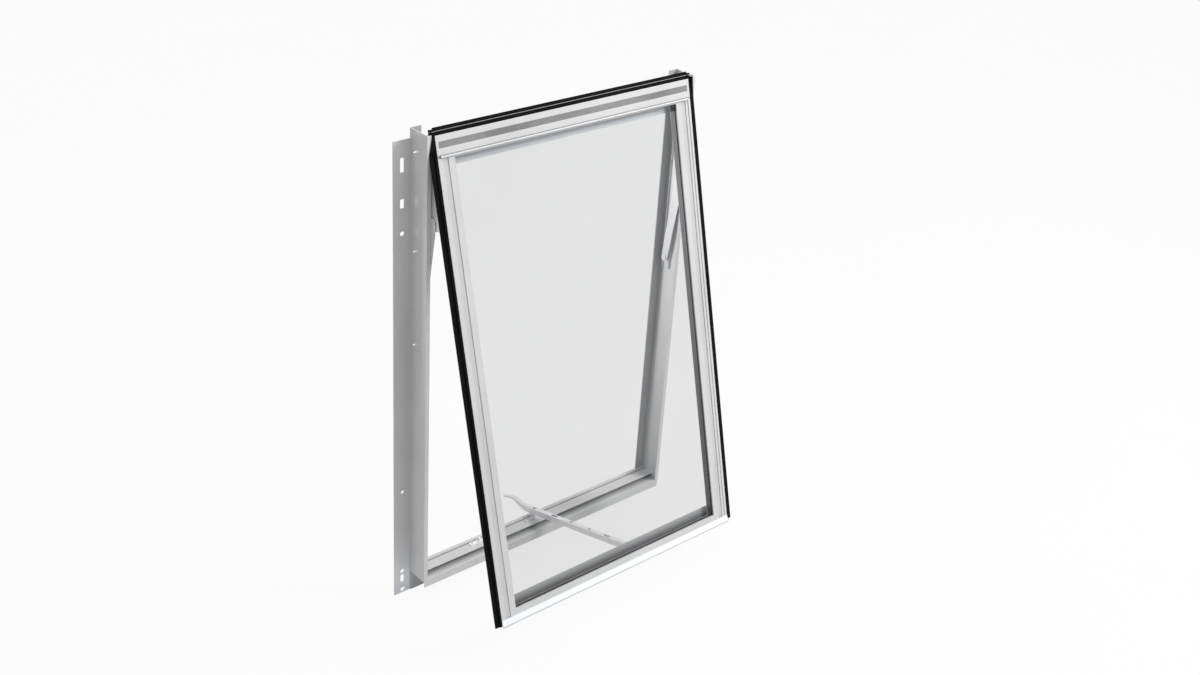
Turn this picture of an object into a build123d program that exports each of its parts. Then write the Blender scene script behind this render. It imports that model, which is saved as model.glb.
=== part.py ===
from build123d import *
from math import asin, atan2, cos, degrees, hypot, radians, sin
import os

# Greenhouse window: an aluminium frame with perforated fixing fins and a top-hung sash on side stays.
# X runs to the right seen from outside, Y into the building, Z up, all in millimetres.
# The origin is the centre of the four fixing holes, on the back plane of the fins.

# Fixed frame, jamb section
frame_width = 673.0        # over the outer faces of the two jamb webs
frame_height = 1000.0      # length of a jamb web
frame_depth = 56.0         # fin back to front flange face
frame_wall = 2.0           # wall of the frame extrusions
fin_width = 38.5           # fin outside the web
back_flange = 24.0         # flange inside the web on the fin plane
front_flange = 9.0         # flange at the front, over the web
fin_top_drop = 20.5        # fin and head start this far below the web top
fin_tail = 50.0            # fin plate below the web foot

# Holes in the fins
hole_line = 18.4           # web outer face to the line of holes
hole_size = 9.5            # round fixing holes
fixing_rise = 292.0        # fixing holes above and below the middle
slot_width = 9.0           # oblong holes
long_slot = 29.0           # length of the upper oblong hole
long_slot_drop = 70.0      # its middle below the web top
short_slot = 18.8          # length of the two short oblong holes
short_slot_drop = 147.0    # middle of the upper one below the web top
tail_slot_drop = 12.5      # middle of the lower one below the web foot
tail_hole_rise = 5.5       # small round hole above the web foot
tail_collar_drop = 41.0    # lower collared hole below the web foot
tail_collar_size = 12.0    # this hole
collar_width = 1.5         # pressed collar round the lower holes
collar_proud = 2.4         # its height over the fin

# Head rail
head_depth = 10.0          # top web of the head rail
head_lip = 6.0             # drop at its front

# Sill section, heights measured from the web foot
sill_back_rise = 14.5      # top of the rear rib
sill_ledge_rise = 12.0     # top of the ledge
sill_floor_rise = 3.0      # floor of the open channel
sill_lip_rise = 4.0        # top of the front lip
sill_skirt = 14.0          # front lip below the web foot
sill_ledge_front = 37.0    # ledge front edge from the fin plane
sill_rib = 8.0             # width of the rear rib
sill_groove = 2.0          # groove between rib and ledge
sill_groove_deep = 3.0     # its depth
sill_inner_wall = 16.0     # back of the channel from the fin plane

# Sash outline and section, depths measured inwards from its outer face
sash_edge = 18.1           # web outer face to the outer bead of the sash
sash_body_step = 2.6       # stile body stands this far outside the bead
sash_proud = 8.9           # outer face in front of the frame when closed
sash_top_drop = 6.5        # sash top below the web top when closed
sash_foot_rise = 7.0       # stile feet above the web foot when closed
sash_depth = 25.0          # outer face to inner face
sash_wall = 2.0            # walls of the sash extrusions
stile_face = 38.4          # stile seen from outside
stile_bead = 5.4           # raised bead at the outer edge
face_recess = 1.5          # stile face behind the bead
flute_offset = 12.5        # outer edge to the flute
flute_width = 11.5         # flute in the stile face
flute_deep = 1.5           # its depth
glass_lip = 4.0            # front lip that holds the glass
glass_slot = 5.5           # slot for glass and seals
glass_bite = 12.0          # depth of the slot
inner_sight = 2.0          # inner sightline behind the outer one
top_sight = 45.5           # top rail seen from outside
bottom_sight = 17.0        # bottom rail body seen from outside
inner_flange = 18.0        # rail flanges past the sightlines on the inside
cover_strip_drop = 12.0    # grey strip below the sash top
cover_strip_high = 12.6    # its height
cover_strip_thick = 0.8    # its thickness
bead_drop = 40.4           # middle of the hollow drip bead
bead_radius = 2.6          # its outside
bead_bore = 1.5            # its bore radius
bead_forward = 1.2         # bead middle in front of the face
drip_lap = 5.8             # drip profile over the foot of the stiles
drip_nose = 3.5            # its nose in front of the face
drip_turn = 13.3           # sloping height of the drip
drip_lip = 3.0             # upright lip under the slope
drip_wall = 2.0            # thickness of the lip

# Glass and seals
glass_thick = 4.0          # pane
glass_gap = 2.0            # pane edge to the bottom of its slot
seal_inset = 0.5           # seal edge inside the sightline
block_length = 60.0        # setting block
block_offset = 200.0       # setting blocks left and right of the middle

# Black edge gaskets, drawn outwards from the sash edge
gasket_base = 5.0          # thickness of the base strip
gasket_front = 1.0         # base starts behind the face
gasket_back = 12.0         # base ends behind the face
gasket_lip = 14.6          # reach of the long lip
lip_start = 3.6            # front of the lip at its root
lip_thick = 2.6            # lip at its root
lip_tip = 1.8              # lip at its tip
barb_inset = 1.8           # barb from the lip tip
barb_width = 1.4           # barb that seals on the frame
seal_gap = 0.3             # barb to the frame when closed
fin_lip = 7.4              # reach of the short lip behind
fin_lip_thick = 1.0        # its thickness
gasket_foot = 3.0          # foot in the sash pocket
foot_width = 4.0           # width of the pocket
foot_start = 6.0           # front of the pocket
gasket_rise = 11.0         # side gaskets stand above the sash top
gasket_tail = 7.5          # side gaskets run below the stile feet
trim_gap = 0.5             # side lips, cut back at the top, to the front flange

# Side stays, one each side
track_back = 23.0          # track middle in front of the fin plane
track_width = 20.0         # channel over its lips
track_lip = 1.0            # lip thickness
track_floor = 1.5          # floor thickness
track_deep = 5.0           # channel height over its floor
shoe_drop = 49.0           # shoe pivot below the web top when closed
track_head = 27.0          # track above the closed shoe pivot
track_foot_hole = 14.0     # lowest screw above the track foot
track_head_hole = 15.0     # highest screw below the track head
track_screw_line = 29.5    # track screws in front of the fin plane
track_screw_radius = 1.9   # their shanks
track_screw_tip = 13.0     # tips that come out of the web
track_screw_cone = 4.0     # pointed end of a tip
track_screw_point = 0.5    # its blunt point
rivet_radius = 2.4         # corner rivets
rivet_head = 4.2           # their heads
arm_foot = 26.0            # track below the lower pivot
arm_reach = 250.0          # lower pivot to upper pivot
plate_reach = 125.0        # upper pivot to shoe pivot
arm_low_radius = 8.5       # round lower end of the tapered arm
arm_top_radius = 14.0      # round upper end
arm_thick = 2.5            # its thickness
stay_gap = 0.5             # free space between the layers of a stay
plate_thick = 3.0          # plate on the sash side
plate_front = 13.0         # plate front edge behind the sash face
plate_margin = 9.0         # plate beyond the pivot line
plate_top = 12.0           # plate above the shoe pivot
plate_foot = 14.0          # plate below the upper arm pivot
plate_corner = 5.0         # rounded corners
plate_screw_back = 18.5    # screws behind the sash face
plate_screw_radius = 2.2   # screw shank
pin_radius = 3.0           # all stay pivots
pin_head = 5.0             # their heads
pin_head_high = 1.4        # height of a head
running_fit = 0.05         # radial play of a turning pivot
post_radius = 6.0          # shoulder of the lower pivot post
shoe_length = 26.0         # sliding shoe
shoe_play = 0.4            # shoe to track, each side
open_angle = 14.67         # sash tilt as pictured, in degrees

# Casement stay at the foot of the sash
stay_place = 44.5          # stay pivot right of the middle
stay_back = 38.0           # stay pivot behind the sash face
stay_rise = 23.5           # stay pivot above the stile feet
stay_width = 12.0          # perforated bar
stay_high = 13.0           # its height
stay_wall = 1.6            # folded sheet
handle_start = 12.0        # bar goes on past the peg hole before the handle
handle_crest = 62.0        # peg hole to the crest of the handle
handle_end = 88.0          # peg hole to handle tip
crest_rise = 9.5           # crest of the handle above the bar
tip_rise = 4.5             # tip of the handle above the bar
crest_thick = 4.4          # handle at its crest
tip_thick = 3.0            # handle at its tip
handle_width = 8.0         # handle tip seen from above
handle_round = 2.5         # rounded tip corners
taper_start = 9.5          # peg hole to the taper seen from above
fold_start = 14.0          # hollow underside from here
fold_end = 13.5            # to here past the peg hole
stay_hole = 7.5            # holes and slots across the bar
stay_slot = 17.0           # slot length
slot_shares = (0.185, 0.767)       # slots as shares of the way to the peg hole
hole_shares = (0.379, 0.582, 1.0)  # holes likewise
lift_radius = 2.5          # cross pin of the stay
ear_thick = 2.2            # ears of the swivel
ear_play = 0.4             # ear to bar
ear_half = 5.0             # ear half width and rise over the pin
base_radius = 9.0          # swivel base
base_thick = 3.0           # its thickness
base_play = 0.5            # base to bar and base to shelf
shelf_thick = 3.0          # shelf of the sash bracket
bracket_width = 38.0       # bracket plate
bracket_thick = 2.5        # its thickness
bracket_rise = 5.0         # plate above the stay pivot
bracket_screw_gap = 26.0   # between the two screws
bracket_screw_drop = 3.0   # screws below the stay pivot
screw_radius = 2.0         # screws of bracket and pegs
screw_head = 3.6           # their heads
screw_head_high = 0.8      # height of a head
peg_places = (-164.0, -10.0)
peg_back = 18.0            # pegs in front of the fin plane
peg_radius = 3.0           # upright peg
peg_high = 11.6            # peg over the ledge
peg_round = 1.5            # rounded top
peg_gap = 0.8              # bar over the peg
peg_plate_length = 50.0    # plate under a peg
peg_plate_width = 10.0     # its width
peg_plate_thick = 2.0      # its thickness
peg_screw_gap = 36.0       # between its screws
overrun = 5.0              # cuts run past the faces they open

# Places worked out from the sizes above
web_out = frame_width / 2
web_in = web_out - frame_wall
web_top = frame_height / 2
web_foot = -frame_height / 2
head_top = web_top - fin_top_drop
face_half = web_out - sash_edge
body_half = face_half + sash_body_step
bead_half = face_half - stile_bead
sight_half = face_half - stile_face
sash_top = web_top - sash_top_drop
sash_body_height = sash_top - web_foot - sash_foot_rise
drip_start = sash_body_height - drip_lap
stay_drop = sash_body_height - stay_rise
face_y = -(frame_depth + sash_proud)
slot_front = face_recess + glass_lip
slot_back = slot_front + glass_slot
bottom_line = sash_body_height - bottom_sight
seal_thick = (glass_slot - glass_thick) / 2
shoe_closed = web_top - shoe_drop
pivot_a = shoe_closed - plate_reach - arm_reach
track_foot = pivot_a - arm_foot
track_top = shoe_closed + track_head
arm_angle = degrees(asin(plate_reach * sin(radians(open_angle)) / arm_reach))
rest_arm_rise = arm_reach * cos(radians(arm_angle))
rest_plate_rise = plate_reach * cos(radians(open_angle))
shoe_rest = pivot_a + rest_arm_rise + rest_plate_rise
plate_out = body_half + plate_thick
arm_in = plate_out + stay_gap
arm_out = arm_in + arm_thick
shoe_in = arm_out + stay_gap
floor_in = web_in - track_floor
ledge_z = web_foot + sill_ledge_rise
peg_top = ledge_z + peg_high
screw_low = track_foot + track_foot_hole
screw_top = track_top - track_head_hole
screw_rises = (screw_low, (screw_low + screw_top) / 2, screw_top)

# Rest place of the sash: turned open about the shoe pivot, which drops along its track
opened = Pos(0, -track_back, shoe_rest) * Rot(-open_angle, 0, 0) * Pos(0, track_back, -shoe_closed)
swung = Pos(0, -track_back, pivot_a) * Rot(arm_angle, 0, 0) * Pos(0, track_back, -pivot_a)


def at_depth(depth):
    """Y of a place behind the closed sash face."""
    return face_y + depth


def at_drop(drop):
    """Z of a place below the closed sash top."""
    return sash_top - drop


def slab(x_span, y_span, z_span):
    """Box between three pairs of limits."""
    size = [max(span) - min(span) for span in (x_span, y_span, z_span)]
    middle = [(max(span) + min(span)) / 2 for span in (x_span, y_span, z_span)]
    return Pos(*middle) * Box(*size)


def run_x(points, x_from, x_to):
    """Section given as (y, z) points, run along X."""
    face = Plane.YZ.offset(x_from) * make_face(Polyline(*points, close=True))
    return extrude(face, amount=x_to - x_from, dir=(1, 0, 0))


def run_z(points, z_from, z_to):
    """Section given as (x, y) points, run along Z."""
    face = Plane.XY.offset(z_from) * make_face(Polyline(*points, close=True))
    return extrude(face, amount=z_to - z_from, dir=(0, 0, 1))


def rod_x(x_span, y, z, radius):
    """Round bar along X."""
    low, high = min(x_span), max(x_span)
    return Pos((low + high) / 2, y, z) * Rot(0, 90, 0) * Cylinder(radius, high - low)


def rod_y(y_span, x, z, radius):
    """Round bar along Y."""
    low, high = min(y_span), max(y_span)
    return Pos(x, (low + high) / 2, z) * Rot(90, 0, 0) * Cylinder(radius, high - low)


def rod_z(z_span, x, y, radius):
    """Round bar along Z."""
    low, high = min(z_span), max(z_span)
    return Pos(x, y, (low + high) / 2) * Cylinder(radius, high - low)


def left_of(shape):
    """Mirror image on the left side."""
    return mirror(shape, about=Plane.YZ)


def save(node, shape):
    """Write one node; a list becomes a group of solids."""
    if isinstance(shape, list):
        shape = Compound(children=shape)
    export_step(shape, f"parts/{node}.step")


# Fixed frame

def fin_hole(z, length):
    """Cutter for an oblong hole of the right fin."""
    x = web_out + hole_line
    x_span = (x - slot_width / 2, x + slot_width / 2)
    return slab(x_span, (-overrun, overrun), (z - length / 2, z + length / 2))


def round_hole(z, size):
    """Cutter for a round hole of the right fin."""
    return rod_y((-overrun, overrun), web_out + hole_line, z, size / 2)


def right_jamb():
    """Extruded jamb with its fin, cut back at both ends and pierced."""
    fin_edge = web_out + fin_width
    section = [
        (fin_edge, 0), (web_out - back_flange, 0), (web_out - back_flange, -frame_wall),
        (web_in, -frame_wall), (web_in, frame_wall - frame_depth),
        (web_out - front_flange, frame_wall - frame_depth), (web_out - front_flange, -frame_depth),
        (web_out, -frame_depth), (web_out, -frame_wall), (fin_edge, -frame_wall),
    ]
    jamb = run_z(section, web_foot - fin_tail, web_top)
    tail_z = (web_foot - fin_tail - overrun, web_foot)
    jamb -= slab((0, fin_edge), (-frame_wall, -frame_depth - overrun), tail_z)
    jamb -= slab((web_out, fin_edge + overrun), (-frame_depth, overrun), (head_top, web_top + overrun))
    for z, size in ((-fixing_rise, hole_size), (web_foot - tail_collar_drop, tail_collar_size)):
        collar_y = (-frame_wall, -frame_wall - collar_proud)
        jamb += rod_y(collar_y, web_out + hole_line, z, size / 2 + collar_width)
        jamb -= round_hole(z, size)
    for z in (fixing_rise, web_foot + tail_hole_rise):
        jamb -= round_hole(z, hole_size)
    jamb -= fin_hole(web_top - long_slot_drop, long_slot)
    jamb -= fin_hole(web_top - short_slot_drop, short_slot)
    jamb -= fin_hole(web_foot - tail_slot_drop, short_slot)
    for z in screw_rises:
        jamb -= rod_x((web_in - overrun, web_out + overrun), -track_screw_line, z, track_screw_radius)
    for x, z in corner_places():
        jamb -= rod_y((overrun, -frame_wall - overrun), x, z, rivet_radius)
    return jamb


def corner_places():
    """Rivets that join the right jamb with head and sill, as (x, z)."""
    x = web_out - back_flange / 2
    return [(x, head_top - back_flange / 2), (x, web_foot - sill_skirt / 2)]


def head_rail():
    """Head channel that laps over the back flanges of the jambs."""
    front = -frame_wall - head_depth
    section = [
        (-frame_wall, head_top), (-frame_wall, head_top - back_flange),
        (-2 * frame_wall, head_top - back_flange), (-2 * frame_wall, head_top - frame_wall),
        (front + frame_wall, head_top - frame_wall), (front + frame_wall, head_top - head_lip),
        (front, head_top - head_lip), (front, head_top),
    ]
    rail = run_x(section, -web_in, web_in)
    x, z = corner_places()[0]
    for side in (x, -x):
        rail -= rod_y((overrun, -2 * frame_wall - overrun), side, z, rivet_radius)
    return rail


def sill():
    """Sill extrusion: back leg, rear rib, groove, ledge, open channel and front lip."""
    rib_front = -frame_wall - sill_rib
    groove_front = rib_front - sill_groove
    groove_z = ledge_z - sill_groove_deep
    floor_z = web_foot + sill_floor_rise
    skirt_z = web_foot - sill_skirt
    leg_z = web_foot - fin_tail
    lip_back = frame_wall - frame_depth
    section = [
        (-frame_wall, leg_z), (-frame_wall, web_foot + sill_back_rise),
        (rib_front, web_foot + sill_back_rise), (rib_front, groove_z),
        (groove_front, groove_z), (groove_front, ledge_z),
        (-sill_ledge_front, ledge_z), (-sill_ledge_front, ledge_z - frame_wall),
        (-sill_inner_wall, ledge_z - frame_wall), (-sill_inner_wall, floor_z),
        (lip_back, floor_z), (lip_back, web_foot + sill_lip_rise),
        (-frame_depth, web_foot + sill_lip_rise), (-frame_depth, skirt_z),
        (lip_back, skirt_z), (lip_back, floor_z - frame_wall),
        (frame_wall - sill_inner_wall, floor_z - frame_wall),
        (frame_wall - sill_inner_wall, groove_z - frame_wall),
        (-2 * frame_wall, groove_z - frame_wall), (-2 * frame_wall, leg_z),
    ]
    rail = run_x(section, -web_in, web_in)
    notch_z = (web_foot, web_foot + sill_lip_rise + overrun)
    notch = slab((web_out - front_flange, web_out), (lip_back, -frame_depth - overrun), notch_z)
    rail -= notch
    rail -= left_of(notch)
    x, z = corner_places()[1]
    for side in (x, -x):
        rail -= rod_y((overrun, -2 * frame_wall - overrun), side, z, rivet_radius)
    for place in peg_places:
        for x in (place - peg_screw_gap / 2, place + peg_screw_gap / 2):
            rail -= rod_z((ledge_z + overrun, ledge_z - frame_wall - seal_gap), x, -peg_back, screw_radius)
    return rail


def corner_rivets():
    """Rivets at the four corners, flush at the back."""
    rivets = []
    for x, z in corner_places():
        for side in (x, -x):
            shank = rod_y((0, -2 * frame_wall), side, z, rivet_radius)
            head = rod_y((-2 * frame_wall, -2 * frame_wall - frame_wall), side, z, rivet_head)
            rivets.append(shank + head)
    return rivets


# Side stays

def right_track():
    """Channel on the inner face of the right web."""
    half = track_width / 2
    lip_x = web_in - track_deep
    section = [
        (web_in, -track_back - half), (web_in, -track_back + half), (lip_x, -track_back + half),
        (lip_x, -track_back + half - track_lip), (floor_in, -track_back + half - track_lip),
        (floor_in, -track_back - half + track_lip), (lip_x, -track_back - half + track_lip),
        (lip_x, -track_back - half),
    ]
    track = run_z(section, track_foot, track_top)
    for z in screw_rises:
        track -= rod_x((web_in + overrun, floor_in - overrun), -track_screw_line, z, track_screw_radius)
    return track


def track_screws():
    """Flush screws through track and web, their pointed tips on the outer face."""
    screws = []
    cone_start = web_out + track_screw_tip - track_screw_cone
    for z in screw_rises:
        shank = rod_x((floor_in, cone_start), -track_screw_line, z, track_screw_radius)
        point = Cone(track_screw_radius, track_screw_point, track_screw_cone)
        middle = cone_start + track_screw_cone / 2
        screw = shank + Pos(middle, -track_screw_line, z) * Rot(0, 90, 0) * point
        screws.append(screw)
        screws.append(left_of(screw))
    return screws


def right_post():
    """Stepped lower pivot post with its head."""
    head_out = arm_in - stay_gap / 2
    post = rod_x((floor_in, arm_out + running_fit), -track_back, pivot_a, post_radius)
    post += rod_x((arm_out + running_fit, head_out), -track_back, pivot_a, pin_radius)
    post += rod_x((head_out, head_out - pin_head_high), -track_back, pivot_a, pin_head)
    return post


def right_arm():
    """Flat arm between its two pivots, wider at the top, upright as when closed."""
    ends = ((pivot_a, arm_low_radius), (pivot_a + arm_reach, arm_top_radius))
    lean = asin((arm_top_radius - arm_low_radius) / arm_reach)
    front = [(-track_back - radius * cos(lean), z - radius * sin(lean)) for z, radius in ends]
    back = [(-track_back + radius * cos(lean), z - radius * sin(lean)) for z, radius in ends]
    bar = run_x([front[0], front[1], back[1], back[0]], arm_in, arm_out)
    for z, radius in ends:
        bar += rod_x((arm_in, arm_out), -track_back, z, radius)
    for z, radius in ends:
        bar -= rod_x((arm_in - overrun, arm_out + overrun), -track_back, z, pin_radius + running_fit)
    return bar


def plate_screw_rises():
    """Heights of the plate screws on the closed sash."""
    low = pivot_a + arm_reach - plate_foot + plate_margin + plate_corner
    high = shoe_closed
    return [low, (low + high) / 2, high]


def right_plate():
    """Plate on the side of the stile that carries two pivots."""
    y_front = at_depth(plate_front)
    y_back = plate_margin - track_back
    z_low = pivot_a + arm_reach - plate_foot
    z_high = shoe_closed + plate_top
    plate = slab((body_half, plate_out), (y_front, y_back), (z_low, z_high))
    plate = fillet(plate.edges().filter_by(Axis.X), plate_corner)
    through = (body_half - overrun, plate_out + overrun)
    plate -= rod_x(through, -track_back, shoe_closed, pin_radius + running_fit)
    plate -= rod_x(through, -track_back, pivot_a + arm_reach, pin_radius)
    for z in plate_screw_rises():
        plate -= rod_x(through, at_depth(plate_screw_back), z, plate_screw_radius)
    return plate


def plate_screws():
    """Flush screws that hold the plates on the stiles."""
    screws = []
    for z in plate_screw_rises():
        screw = rod_x((body_half - sash_wall, plate_out), at_depth(plate_screw_back), z, plate_screw_radius)
        screws.append(screw)
        screws.append(left_of(screw))
    return screws


def right_arm_pin():
    """Upper arm pivot, riveted in the plate."""
    pin = rod_x((body_half, arm_out), -track_back, pivot_a + arm_reach, pin_radius)
    pin += rod_x((body_half - pin_head_high, body_half), -track_back, pivot_a + arm_reach, pin_head)
    return pin


def right_shoe():
    """Sliding shoe in the track, at its rest height."""
    half = track_width / 2 - track_lip - shoe_play
    shoe = slab(
        (shoe_in, floor_in - shoe_play), (-track_back - half, -track_back + half),
        (shoe_rest - shoe_length / 2, shoe_rest + shoe_length / 2),
    )
    shoe = fillet(shoe.edges().filter_by(Axis.X), half / 2)
    shoe -= rod_x((shoe_in - overrun, floor_in + overrun), -track_back, shoe_rest, pin_radius)
    return shoe


def right_shoe_pin():
    """Pivot fixed in the shoe, turning in the plate."""
    inner = body_half - running_fit
    pin = rod_x((inner, floor_in - shoe_play), -track_back, shoe_rest, pin_radius)
    pin += rod_x((inner - pin_head_high, inner), -track_back, shoe_rest, pin_head)
    return pin


# Sash, drawn closed

def right_stile():
    """Hollow stile with bead, flute, glass slot and gasket pocket."""
    flute_out = face_half - flute_offset
    flute_in = flute_out - flute_width
    flute_floor = face_recess + flute_deep
    step = gasket_back + seal_gap
    outline = [
        (face_half, 0), (bead_half, 0), (bead_half, face_recess), (flute_out, face_recess),
        (flute_out, flute_floor), (flute_in, flute_floor), (flute_in, face_recess),
        (sight_half, face_recess), (sight_half, slot_front), (sight_half + glass_bite, slot_front),
        (sight_half + glass_bite, slot_back), (sight_half + inner_sight, slot_back),
        (sight_half + inner_sight, sash_depth), (body_half, sash_depth), (body_half, step),
        (face_half, step), (face_half, foot_start + foot_width),
        (face_half - gasket_foot, foot_start + foot_width), (face_half - gasket_foot, foot_start),
        (face_half, foot_start),
    ]
    stile = run_z([(x, at_depth(d)) for x, d in outline], at_drop(sash_body_height), sash_top)
    wall_in = sight_half + glass_bite + sash_wall
    wall_out = face_half - gasket_foot - sash_wall
    chamber = [
        (wall_in, flute_floor + sash_wall), (wall_out, flute_floor + sash_wall),
        (wall_out, step + sash_wall), (body_half - sash_wall, step + sash_wall),
        (body_half - sash_wall, sash_depth - sash_wall), (wall_in, sash_depth - sash_wall),
    ]
    low = at_drop(sash_body_height) - overrun
    stile -= run_z([(x, at_depth(d)) for x, d in chamber], low, sash_top - sash_wall)
    inner = sight_half + inner_sight + sash_wall
    side_x = (inner, sight_half + glass_bite)
    side_y = (at_depth(slot_back + sash_wall), at_depth(sash_depth - sash_wall))
    stile -= slab(side_x, side_y, (low, sash_top - sash_wall))
    stile -= slab((bead_half, face_half), (at_depth(0), at_depth(face_recess)), (low, at_drop(drip_start)))
    screw_x = (body_half - sash_wall, body_half + overrun)
    for z in plate_screw_rises():
        stile -= rod_x(screw_x, at_depth(plate_screw_back), z, plate_screw_radius)
    return stile


def top_rail():
    """Top rail with cover, strip recess, hollow bead, glass slot and inner flange."""
    slot_top = top_sight - glass_bite
    body = [
        (face_recess, 0), (face_recess, top_sight), (slot_front, top_sight), (slot_front, slot_top),
        (slot_back, slot_top), (slot_back, top_sight + inner_sight),
        (slot_back + sash_wall, top_sight + inner_sight), (slot_back + sash_wall, slot_top),
        (sash_depth - sash_wall, slot_top), (sash_depth - sash_wall, top_sight + inner_flange),
        (sash_depth, top_sight + inner_flange), (sash_depth, 0),
        (foot_start + foot_width, 0), (foot_start + foot_width, gasket_foot), (foot_start, gasket_foot),
        (foot_start, 0),
    ]
    rail = run_x([(at_depth(d), at_drop(v)) for d, v in body], -sight_half, sight_half)
    chamber_d = (at_depth(face_recess + sash_wall), at_depth(sash_depth - sash_wall))
    chamber_v = (at_drop(gasket_foot + sash_wall), at_drop(slot_top - sash_wall))
    rail -= slab((-sight_half - overrun, sight_half + overrun), chamber_d, chamber_v)
    bead_y = at_depth(-bead_forward)
    bead_z = at_drop(bead_drop)
    rail += slab((-bead_half, bead_half), (at_depth(0), at_depth(face_recess)), (sash_top, bead_z))
    rail += rod_x((-bead_half, bead_half), bead_y, bead_z, bead_radius)
    rail -= rod_x((-bead_half - overrun, bead_half + overrun), bead_y, bead_z, bead_bore)
    strip_v = (at_drop(cover_strip_drop), at_drop(cover_strip_drop + cover_strip_high))
    rail -= slab((-web_in, web_in), (at_depth(-overrun), at_depth(cover_strip_thick)), strip_v)
    return rail


def cover_strip():
    """Grey strip let into the top rail."""
    strip_v = (at_drop(cover_strip_drop), at_drop(cover_strip_drop + cover_strip_high))
    return slab((-bead_half, bead_half), (at_depth(0), at_depth(cover_strip_thick)), strip_v)


def bottom_rail():
    """Bottom rail with glass slot and inner flange."""
    slot_foot = bottom_line + glass_bite
    floor = sash_body_height - sash_wall
    body = [
        (face_recess, bottom_line), (slot_front, bottom_line), (slot_front, slot_foot),
        (slot_back, slot_foot), (slot_back, bottom_line - inner_sight),
        (slot_back + sash_wall, bottom_line - inner_sight), (slot_back + sash_wall, floor),
        (sash_depth - sash_wall, floor), (sash_depth - sash_wall, bottom_line - inner_flange),
        (sash_depth, bottom_line - inner_flange),
        (sash_depth, sash_body_height), (face_recess, sash_body_height),
    ]
    rail = run_x([(at_depth(d), at_drop(v)) for d, v in body], -sight_half, sight_half)
    screw_y = (at_depth(sash_depth + overrun), at_depth(sash_depth - sash_wall))
    for x in bracket_screw_places():
        rail -= rod_y(screw_y, x, bracket_screw_z(), screw_radius)
    return rail


def drip_profile():
    """Sloping drip in front of the foot of the sash."""
    turn = drip_start + drip_turn
    back = sash_body_height
    section = [
        (face_recess, drip_start), (0, drip_start), (-drip_nose, turn), (-drip_nose, turn + drip_lip),
        (drip_wall - drip_nose, turn + drip_lip), (drip_wall - drip_nose, turn), (face_recess, back),
    ]
    return run_x([(at_depth(d), at_drop(v)) for d, v in section], -face_half, face_half)


def glass_pane():
    """Single pane in the slots of stiles and rails."""
    half = sight_half + glass_bite - glass_gap
    depth = (at_depth(slot_front + seal_thick), at_depth(slot_back - seal_thick))
    high = (at_drop(top_sight - glass_bite + glass_gap), at_drop(bottom_line + glass_bite - glass_gap))
    return slab((-half, half), depth, high)


def glazing_seals(front, back, sight):
    """Four seal strips on one side of the pane; sight is the reach past the outer sightline."""
    edge = sight_half + glass_bite - glass_gap
    inner = sight_half + sight + seal_inset
    depth = (at_depth(front), at_depth(back))
    top = at_drop(top_sight - glass_bite + glass_gap)
    top_in = at_drop(top_sight + sight - seal_inset)
    foot = at_drop(bottom_line + glass_bite - glass_gap)
    foot_in = at_drop(bottom_line - sight + seal_inset)
    upright = slab((inner, edge), depth, (foot, top))
    rails = (-inner, inner)
    head_strip = slab(rails, depth, (top_in, top))
    foot_strip = slab(rails, depth, (foot, foot_in))
    return [upright, left_of(upright), head_strip, foot_strip]


def setting_blocks():
    """Blocks under the pane."""
    depth = (at_depth(slot_front + seal_thick), at_depth(slot_back - seal_thick))
    high = (at_drop(bottom_line + glass_bite - glass_gap), at_drop(bottom_line + glass_bite))
    blocks = []
    for x in (-block_offset, block_offset):
        blocks.append(slab((x - block_length / 2, x + block_length / 2), depth, high))
    return blocks


def gasket_section():
    """Gasket as (outwards, depth) points: base, long lip with a barb, short lip."""
    barb_end = sash_proud - seal_gap
    lip_back = lip_start + lip_thick
    barb_out = gasket_lip - barb_inset
    barb_in = barb_out - barb_width
    return [
        (0, gasket_front), (gasket_base, gasket_front), (gasket_base, lip_start),
        (gasket_lip, lip_back - lip_tip), (gasket_lip, lip_back), (barb_out, lip_back),
        (barb_out, barb_end), (barb_in, barb_end), (barb_in, lip_back), (gasket_base, lip_back),
        (gasket_base, barb_end), (fin_lip, barb_end), (fin_lip, barb_end + fin_lip_thick),
        (gasket_base, barb_end + 2 * fin_lip_thick), (gasket_base, gasket_back), (0, gasket_back),
    ]


def right_gasket():
    """Edge gasket of the right stile with its foot."""
    points = [(face_half + out, at_depth(d)) for out, d in gasket_section()]
    gasket = run_z(points, at_drop(sash_body_height + gasket_tail), sash_top + gasket_rise)
    foot_y = (at_depth(foot_start), at_depth(foot_start + foot_width))
    gasket += slab((face_half - gasket_foot, face_half), foot_y, (at_drop(sash_body_height), sash_top))
    trim_x = (web_out - front_flange - trim_gap, web_out)
    trim_y = (-frame_depth - trim_gap, 0)
    gasket -= opened.inverse() * slab(trim_x, trim_y, (0, web_top + sash_depth))
    foot_z = (at_drop(sash_body_height + gasket_tail), at_drop(sash_body_height))
    gasket -= slab((face_half, web_out), (at_depth(sash_proud - seal_gap), at_depth(sash_depth)), foot_z)
    return gasket


def head_gasket():
    """Edge gasket on the sash top, its foot in the top rail."""
    points = [(at_depth(d), sash_top + out) for out, d in gasket_section()]
    gasket = run_x(points, -face_half, face_half)
    foot_y = (at_depth(foot_start), at_depth(foot_start + foot_width))
    gasket += slab((-sight_half, sight_half), foot_y, (at_drop(gasket_foot), sash_top))
    return gasket


# Casement stay

def bracket_screw_places():
    """X of the two bracket screws."""
    return (stay_place - bracket_screw_gap / 2, stay_place + bracket_screw_gap / 2)


def bracket_screw_z():
    """Height of the bracket screws on the closed sash."""
    return at_drop(stay_drop + bracket_screw_drop)


def shelf_top():
    """Top of the bracket shelf below the stay pivot."""
    return stay_high / 2 + base_play + base_thick + base_play


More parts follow.
